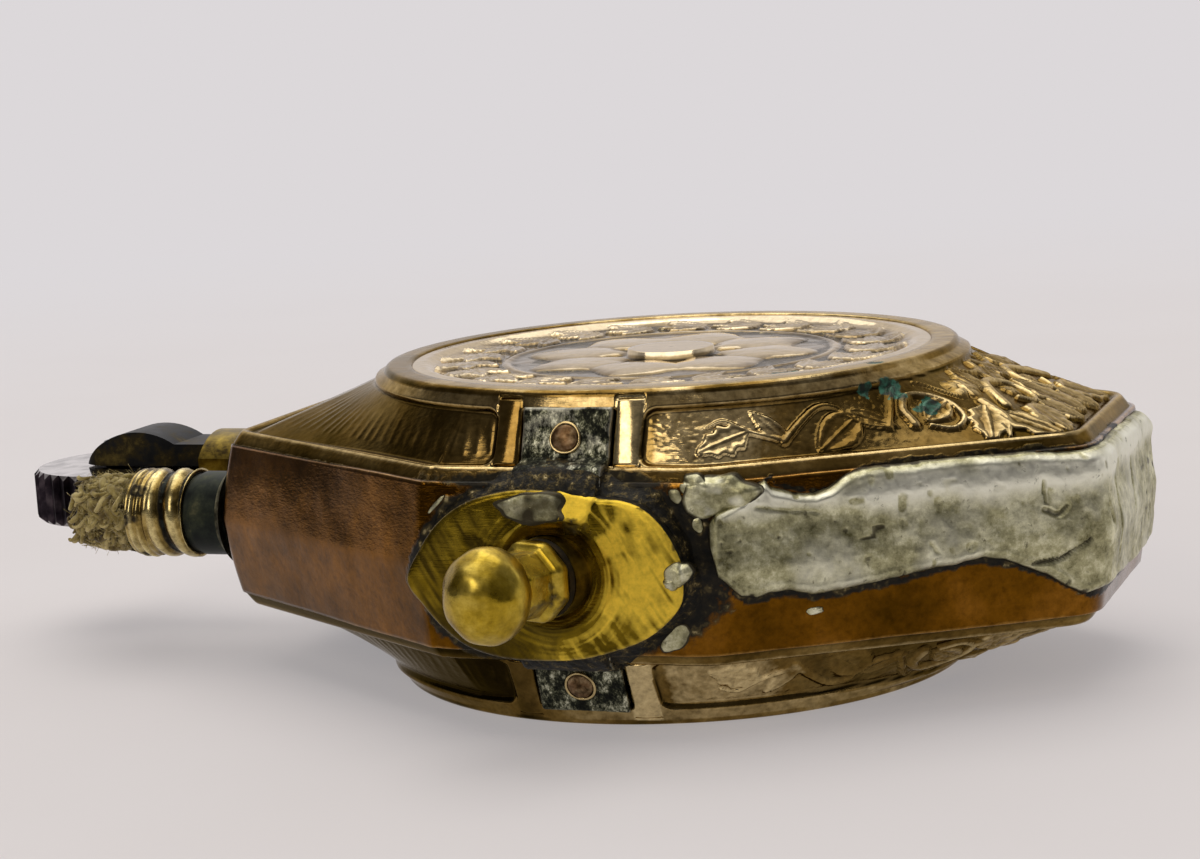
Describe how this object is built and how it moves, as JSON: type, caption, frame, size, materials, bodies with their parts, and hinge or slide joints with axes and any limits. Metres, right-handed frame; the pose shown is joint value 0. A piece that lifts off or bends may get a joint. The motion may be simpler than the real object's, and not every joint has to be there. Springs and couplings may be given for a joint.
{
  "type": "trench lighter",
  "caption": "Pocket petrol lighter: a hollow eight-sided case with stamped faces, a ball-headed filler plug, a wick tube and a flint wheel in a two-cheek fork.",
  "frame": {"origin": "centre of the flat button on the rear face, on the plane that the lighter lies on", "axes": "+X from the flint wheel to the base of the case, +Z from the rear face to the front face, -Y the side with the filler plug"},
  "size_m": [0.0708, 0.0464, 0.0178],
  "materials": {
    "band_copper": "worn copper-brown tombac, handled",
    "stamped_brass": "stamped tombac, brown patina with rubbed high spots",
    "yellow_brass": "yellow brass, scraped and tarnished",
    "rivet_copper": "copper rivet heads, rubbed",
    "dark_steel": "dark pitted steel",
    "wheel_steel": "hardened file-cut steel, dark",
    "spring_steel": "drawn wire",
    "grey_solder": "soft solder, dull grey with pits",
    "washer_leather": "oil-soaked leather",
    "wick_cotton": "oily frayed cotton",
    "wadding_cotton": "packed cotton",
    "flint_alloy": "grey ferrocerium"
  },
  "bodies": {
    "case": {"edge_band": "band_copper", "front_shell": "stamped_brass", "back_shell": "stamped_brass", "steel_strap": "dark_steel", "strap_rivets": "rivet_copper", "rivet_rings": "yellow_brass", "filler_plate": "yellow_brass", "filler_bush": "yellow_brass", "solder_patch": "grey_solder", "solder_blobs": "grey_solder", "tube_fillets": "grey_solder", "wick_tube": "dark_steel", "wick_ferrule": "yellow_brass", "wick": "wick_cotton", "wadding": "wadding_cotton", "flint_tube": "yellow_brass", "tube_cap": "yellow_brass", "flint_spring": "spring_steel", "fork_block": "yellow_brass", "upper_cheek": "dark_steel", "lower_cheek": "dark_steel", "wheel_axle": "dark_steel"},
    "washer": {"filler_washer": "washer_leather"},
    "plug": {"filler_plug": "yellow_brass"},
    "feed": {"flint_plunger": "yellow_brass", "flint": "flint_alloy"},
    "wheel": {"striker_wheel": "wheel_steel"}
  },
  "joints": [
    {"name": "wheel_spin", "type": "hinge", "parent": "case", "child": "wheel", "pos_m": [-0.0388, 0.0033, 0.0087], "axis": [0, 0, 1], "continuous": true},
    {"name": "plug_turn", "type": "hinge", "parent": "washer", "child": "plug", "pos_m": [0, -0.0202, 0.0089], "axis": [-0.309, -0.9511, 0], "range_deg": [0, 2880]},
    {"name": "plug_draw", "type": "slide", "parent": "case", "child": "washer", "axis": [-0.309, -0.9511, 0], "range_m": [0, 0.004]},
    {"name": "flint_feed", "type": "slide", "parent": "case", "child": "feed", "axis": [1, 0, 0], "range_m": [0, 0.0015], "stiffness_N_per_m": 150, "springref_m": -0.003, "deforming": ["flint_spring"]}
  ],
  "couplings": [
    {"joint": "plug_turn", "follows": "plug_draw", "rad_per_m": 12566}
  ]
}
